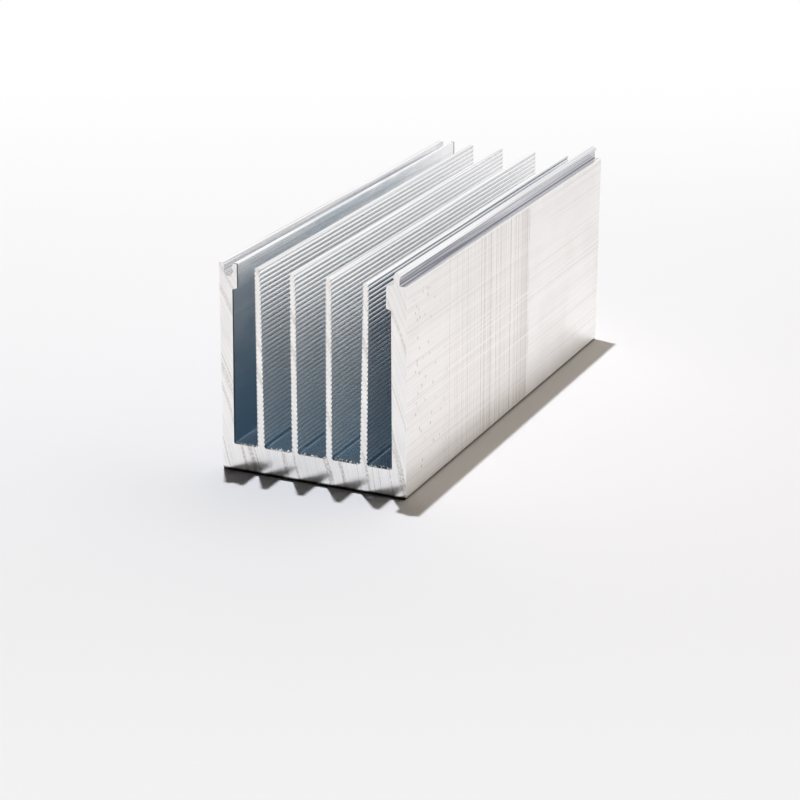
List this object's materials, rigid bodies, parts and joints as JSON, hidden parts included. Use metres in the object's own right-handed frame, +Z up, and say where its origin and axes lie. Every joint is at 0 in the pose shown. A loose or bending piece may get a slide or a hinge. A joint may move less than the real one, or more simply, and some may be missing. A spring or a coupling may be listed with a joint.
{
  "type": "extruded heat sink",
  "caption": "Trough-shaped extruded aluminium heat sink with ridged upright fins, a tongue on one side wall and a matching groove on the other.",
  "frame": {"origin": "middle of the flat underside", "axes": "+Y along the extrusion, +X across it towards the wall with the tongue, +Z up the fins"},
  "size_m": [0.037, 0.1, 0.0424],
  "materials": {
    "aluminium": "mill-finish extruded, saw-cut ends"
  },
  "bodies": {
    "root": {"heat_sink": "aluminium"}
  },
  "joints": []
}
